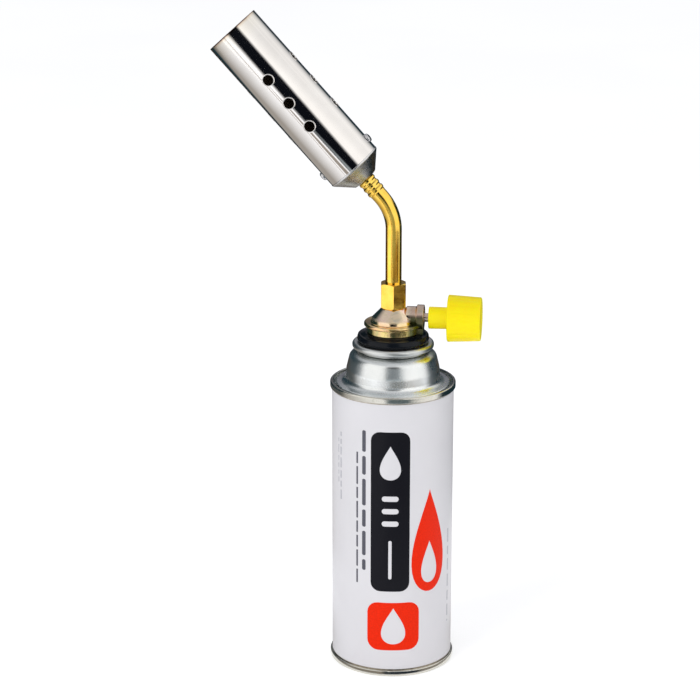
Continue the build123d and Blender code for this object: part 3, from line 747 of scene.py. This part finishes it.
def paragraph(u0, u1, v_top, lines, pitch, thickness):
    """Lines of print lying round the can, each with its own length."""
    out = []
    for i in range(lines):
        v = v_top - pitch * i
        right = u1 - random.uniform(0, 0.35) * (u1 - u0) * (1 if i % 4 == 3 else 0.25)
        out.append(bar(u0, v - thickness, right, v, thickness * 0.4))
    return out


# left, low, right and high, in millimetres round the can and above its foot
PANEL = (-12.2, 49.0, 8.8, 138.6)
HALF_TURN = math.pi * CAN_R / MM
BACK = HALF_TURN - 4                # middle of the label's back, in millimetres round the can
WELD = HALF_TURN - 38               # the body's welded seam

cutouts = [flame(-1.7, 112.0, 12.0, 19.0)]
cutouts += [bar(-6.2, v, 2.8, v + 3.0, 1.5) for v in (100.0, 93.0, 86.0)]
cutouts += [bar(-2.6, 56.0, -0.8, 78.0, 0.9)]
printed("label_panel", "charcoal", [bar(*PANEL, 5.0)] + cutouts)
printed("label_flame", "flame", [flame(20.8, 47.0, 23.0, 58.0), flame(20.8, 52.0, 11.0, 24.0)])
printed("label_band", "flame", [bar(-14.0, 15.0, 14.5, 42.5, 6.0), flame(0.2, 18.5, 14.0, 21.0)])
printed("label_line_large", "slate", dashes(-16.2, 2.1, 138.6, 60.0, 9.0, 18.0, 2.4))
printed("label_line_small", "slate", dashes(-20.4, 1.0, 126.0, 52.0, 6.0, 14.0, 1.6))
printed("label_print_left", "pale", dashes(-33.0, 1.1, 134.0, 96.0, 2.0, 6.0, 1.5)
        + dashes(-35.4, 0.7, 130.0, 104.0, 2.0, 5.0, 1.5))
printed("label_print_right", "pale", dashes(37.5, 1.3, 78.0, 24.0, 4.0, 9.0, 2.2))
printed("label_back_text", "slate", paragraph(-26, 26, 128, 22, 3.4, 1.0), BACK)
back_frame = [bar(-30, 46, 30, 136, 4), bar(-29.3, 46.7, 29.3, 135.3, 3.4)]
printed("label_back_frame", "charcoal", back_frame, BACK)
printed("weld_margin", "bare", [bar(-2.6, 4.2, 2.6, 153.4, 0.4)], WELD)
printed("weld_line", "weld", [bar(-0.35, 4.3, 0.35, 153.3, 0.2)], WELD)


# ---- floor, light, camera ---------------------------------------------------------
def stage_mesh(name, mesh, material):
    o = bpy.data.objects.new(name, mesh)
    bpy.context.scene.collection.objects.link(o)
    mesh.materials.append(material)
    return o


def floor_material():
    s = Shader("floor_pale")
    cloud = s.noise(3, 2)
    s.to("Base Color", s.mix(s.span(cloud, 0.4, 0.6, 0, 1), (0.86, 0.86, 0.87), (0.88, 0.88, 0.89)))
    s.set(Roughness=0.9, Specular_IOR_Level=0.0)
    s.bsdf.inputs["Emission Color"].default_value = (1, 1, 1, 1)
    s.bsdf.inputs["Emission Strength"].default_value = 0.44
    return s.mat


def add_floor():
    bm = bmesh.new()
    bmesh.ops.create_circle(bm, cap_ends=True, radius=6.0, segments=96)
    stage_mesh("floor", to_mesh(bm, "floor"), floor_material())


def card_material(name, colour, strength):
    """Plain glow that fades out at the card's edges by the mesh's own "fade" values."""
    mat = bpy.data.materials.new(name)
    mat.use_nodes = True
    tree = mat.node_tree
    tree.nodes.clear()
    out = tree.nodes.new("ShaderNodeOutputMaterial")
    emit = tree.nodes.new("ShaderNodeEmission")
    emit.inputs["Color"].default_value = (*colour, 1)
    emit.inputs["Strength"].default_value = strength
    clear = tree.nodes.new("ShaderNodeBsdfTransparent")
    fade = tree.nodes.new("ShaderNodeAttribute")
    fade.attribute_name = "fade"
    mix = tree.nodes.new("ShaderNodeMixShader")
    tree.links.new(fade.outputs["Fac"], mix.inputs[0])
    tree.links.new(clear.outputs[0], mix.inputs[1])
    tree.links.new(emit.outputs[0], mix.inputs[2])
    tree.links.new(mix.outputs[0], out.inputs["Surface"])
    return mat


CARD_STEPS = 40
CARD_CENTRE = 0.2                   # height of the middle of the upright cards' sphere


def add_card(name, azimuths, spans, place, colour, strength, soft):
    """A studio card seen only in reflections. Azimuths run right from the camera's, in degrees.

    place(azimuth, value) gives its points, and soft is how far its left, right, low and high
    edges take to fade out.
    """
    steps = CARD_STEPS
    bm = bmesh.new()
    fade = bm.verts.layers.float.new("fade")
    rows = []
    for i in range(steps + 1):
        a = azimuths[0] + (azimuths[1] - azimuths[0]) * i / steps
        row = []
        for k in range(steps + 1):
            value = spans[0] + (spans[1] - spans[0]) * k / steps
            vert = bm.verts.new(place(VIEW_AZ + math.radians(a), value))
            edges = (a - azimuths[0], azimuths[1] - a, value - spans[0], spans[1] - value)
            vert[fade] = max(0, min(1, *(edge / width for edge, width in zip(edges, soft) if width)))
            row.append(vert)
        rows.append(row)
    for i in range(steps):
        for k in range(steps):
            bm.faces.new((rows[i][k], rows[i + 1][k], rows[i + 1][k + 1], rows[i][k + 1]))
    card = stage_mesh(name, to_mesh(bm, name), card_material(name, colour, strength))
    card.visible_camera = False
    card.visible_diffuse = False
    card.visible_shadow = False
    card.visible_transmission = False
    card.visible_volume_scatter = False


def add_upright_card(name, azimuths, elevations, distance, colour, strength, soft):
    """A card on a sphere round the object. Elevations are in degrees."""
    def place(turn, degrees):
        flat = distance * math.cos(math.radians(degrees))
        height = CARD_CENTRE + distance * math.sin(math.radians(degrees))
        return (flat * math.sin(turn), -flat * math.cos(turn), height)

    add_card(name, azimuths, elevations, place, colour, strength, soft)


def add_floor_card(name, azimuths, radii, height, colour, strength, soft):
    """A card lying just above the floor. Radii are in metres, and its height in millimetres."""
    def place(turn, radius):
        return (radius * math.sin(turn), -radius * math.cos(turn), height * MM)

    add_card(name, azimuths, radii, place, colour, strength, soft)


def area_light(name, location, power):
    """A square lamp, aimed at the middle of the object, that reflections don't see."""
    light = bpy.data.lights.new(name, "AREA")
    light.shape = "RECTANGLE"
    light.size = light.size_y = 0.8
    light.energy = power
    o = bpy.data.objects.new(name, light)
    bpy.context.scene.collection.objects.link(o)
    o.location = location
    aim = Vector((0, 0, 0.15)) - Vector(location)
    o.rotation_euler = aim.to_track_quat("-Z", "Y").to_euler()
    o.visible_camera = False
    o.visible_glossy = False


def add_world():
    """A pale surround, brighter where the camera sees it than as a light."""
    world = bpy.data.worlds.new("studio")
    bpy.context.scene.world = world
    world.use_nodes = True
    tree = world.node_tree
    background = tree.nodes["Background"]
    background.inputs["Color"].default_value = (0.97, 0.98, 1.0, 1)
    seen = tree.nodes.new("ShaderNodeLightPath").outputs["Is Camera Ray"]
    level = tree.nodes.new("ShaderNodeMapRange")
    level.inputs["To Min"].default_value = 0.62
    level.inputs["To Max"].default_value = 1.05
    tree.links.new(seen, level.inputs["Value"])
    tree.links.new(level.outputs[0], background.inputs["Strength"])


def add_camera():
    """A camera from the photograph's place, looking down at the object with no shift."""
    tilt = math.radians(16.79)
    distance, height, aside = 1.202, 0.5366, -0.0229
    right = Vector((math.cos(VIEW_AZ), math.sin(VIEW_AZ), 0))
    back = Vector((math.sin(VIEW_AZ), -math.cos(VIEW_AZ), 0))
    forward = -back * math.cos(tilt) + Vector((0, 0, -math.sin(tilt)))
    place = back * distance + Vector((0, 0, height)) + right * aside
    camera = bpy.data.cameras.new("camera")
    camera.sensor_width = 36
    camera.lens = 121.5
    o = bpy.data.objects.new("camera", camera)
    bpy.context.scene.collection.objects.link(o)
    turn = Matrix((right, right.cross(forward), -forward)).transposed().to_4x4()
    o.matrix_world = Matrix.Translation(place) @ turn
    bpy.context.scene.camera = o


WARM = (1.0, 0.985, 0.96)
BLACK = (0.004, 0.005, 0.008)
DUSK = (0.13, 0.13, 0.15)
MIST = (0.38, 0.34, 0.30)
HAZE = (0.40, 0.37, 0.335)
LINEN = (0.50, 0.45, 0.39)
STONE = (0.30, 0.27, 0.235)
TEAL = (0.014, 0.034, 0.044)
MOSS = (0.03, 0.036, 0.03)
BROWN = (0.075, 0.045, 0.02)
SAND = (0.30, 0.20, 0.09)
SLATE = (0.15, 0.20, 0.23)
SKY = (0.38, 0.43, 0.45)
NAVY = (0.02, 0.03, 0.045)

# name, azimuths, elevations, distance, colour, strength, soft edges
UPRIGHT_CARDS = [
    ("card_front", (-22, 22), (-8, 36), 1.4, BLACK, 1.0, (8, 9, 0, 8)),
    ("card_near", (-20, 30), (-13, 6), 0.45, SKY, 1.0, (9, 9, 3, 4)),
    ("card_softbox_left", (-92, -12), (-7, 56), 1.7, WARM, 1.1, (14, 10, 0, 22)),
    ("card_softbox_right", (8, 96), (-7, 66), 1.7, WARM, 1.2, (12, 14, 0, 34)),
    ("card_softbox_high", (84, 158), (18, 66), 1.65, WARM, 1.2, (12, 58, 10, 34)),
    ("card_left", (-172, -80), (-7, 46), 1.68, TEAL, 1.0, (4, 16, 0, 20)),
    ("card_right", (86, 172), (-7, 34), 1.68, TEAL, 1.0, (14, 4, 0, 14)),
    ("card_back", (158, 202), (-7, 30), 1.9, DUSK, 1.0, (8, 8, 0, 12)),
]
# name, azimuths, radii, height, colour, strength, soft edges
FLOOR_CARDS = [
    ("card_floor_haze", (-180, -28), (0.14, 0.85), 0.6, HAZE, 1.0, (0, 78, 0.04, 0.25)),
    ("card_floor_left", (-180, -93), (0.44, 1.8), 1.4, TEAL, 1.0, (0, 15, 0.06, 0.3)),
    ("card_floor_right", (82, 180), (0.20, 1.8), 1.4, TEAL, 1.0, (16, 0, 0.08, 0.3)),
    ("card_floor_left_far", (-180, -96), (0.68, 1.05), 1.8, BROWN, 1.0, (0, 12, 0.04, 0.08)),
    ("card_floor_right_far", (118, 180), (0.68, 1.05), 1.8, BROWN, 1.0, (10, 0, 0.04, 0.08)),
    ("card_floor_slate", (-16, 50), (0.16, 0.62), 1.0, SLATE, 1.0, (8, 10, 0.08, 0.03)),
    ("card_floor_moss", (-18, 60), (0.575, 0.77), 1.2, MOSS, 1.0, (5, 6, 0.02, 0.03)),
    ("card_floor_sand", (-10, 52), (0.74, 1.05), 1.4, SAND, 1.0, (2, 3, 0.02, 0.10)),
    ("card_floor_black", (-21, 18), (1.15, 1.5), 1.8, BLACK, 1.0, (5, 4, 0.2, 0)),
    ("card_floor_mist", (-31, -14), (0.60, 1.02), 1.0, MIST, 1.0, (1, 4, 0.05, 0.10)),
    ("card_floor_line", (-37.5, -34.5), (0.5, 1.05), 1.0, LINEN, 1.0, (0.8, 0.8, 0.05, 0.05)),
    ("card_floor_right_line", (50, 78), (0.62, 1.05), 2.2, BROWN, 1.0, (3, 7, 0.04, 0.05)),
    ("card_floor_bright", (-90, -41), (0.66, 1.0), 2.2, WARM, 1.5, (10, 6, 0.06, 0.16)),
    ("card_floor_bright_right", (26, 88), (0.44, 0.60), 2.6, WARM, 1.2, (12, 12, 0.05, 0.04)),
    ("card_foot", (-180, 180), (0.036, 0.10), 0.15, STONE, 1.0, (0, 0, 0, 0.04)),
    ("card_foot_dark", (-12, 34), (0.036, 0.08), 0.3, NAVY, 1.0, (5, 9, 0, 0.02)),
]

add_floor()
add_world()
for row in UPRIGHT_CARDS:
    add_upright_card(*row)
for row in FLOOR_CARDS:
    add_floor_card(*row)
area_light("key", (-0.9, -1.2, 1.3), 9.5)
area_light("fill", (1.2, -0.9, 0.9), 2.5)
add_camera()
bpy.context.scene.view_settings.view_transform = "Standard"
bpy.context.scene.view_settings.look = "None"
